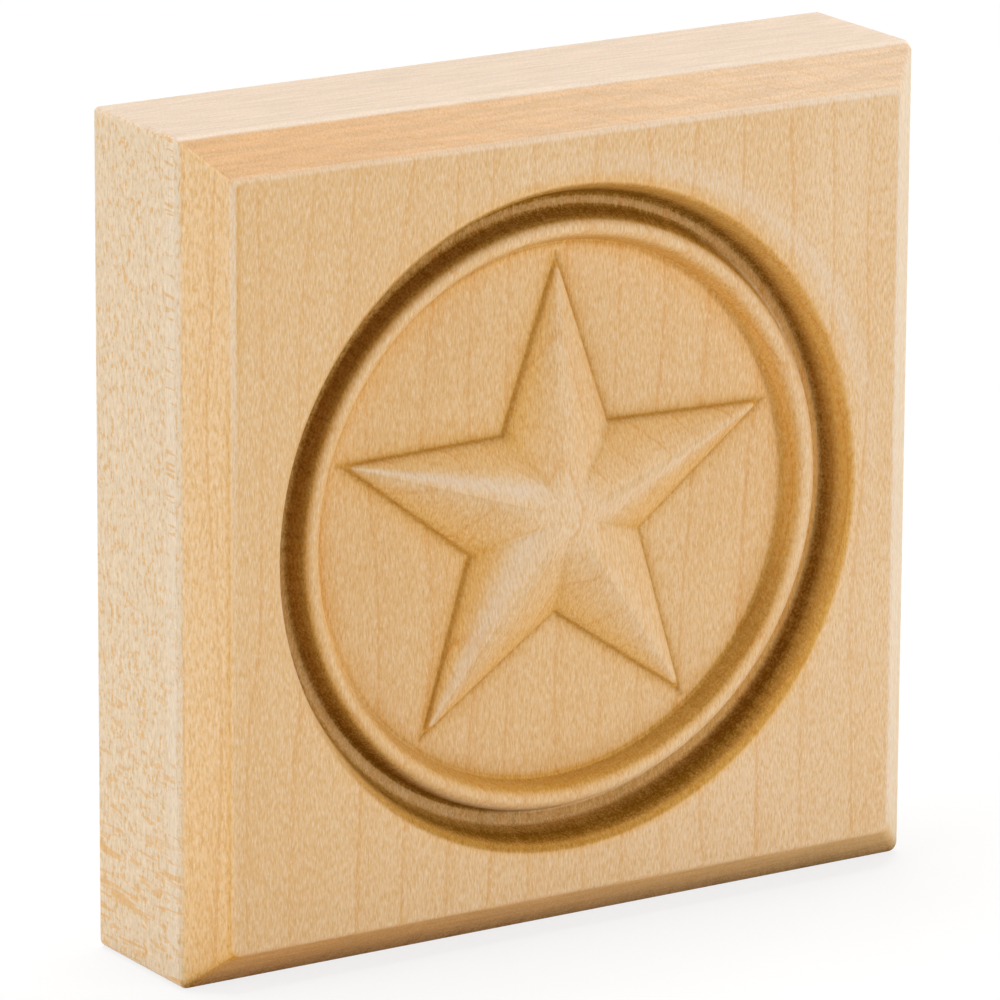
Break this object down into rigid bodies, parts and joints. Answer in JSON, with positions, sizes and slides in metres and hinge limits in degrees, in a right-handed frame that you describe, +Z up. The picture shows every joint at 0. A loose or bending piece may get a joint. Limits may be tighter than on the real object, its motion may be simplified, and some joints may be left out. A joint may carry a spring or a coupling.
{
  "type": "corner rosette block",
  "caption": "Square solid wood corner block for door and window casing, with a chamfered front, a turned ring moulding and a faceted star in relief.",
  "frame": {"origin": "middle of the flat back face, where the block lies against the wall", "axes": "+Z up along the grain, +Y out of the back into the wall, so the carved front faces -Y; +X to the right as seen from the front"},
  "size_m": [0.0952, 0.0222, 0.0952],
  "materials": {
    "maple": "bare hard maple, machined and sanded, satin"
  },
  "bodies": {
    "root": {"rosette_block": "maple"}
  },
  "joints": []
}
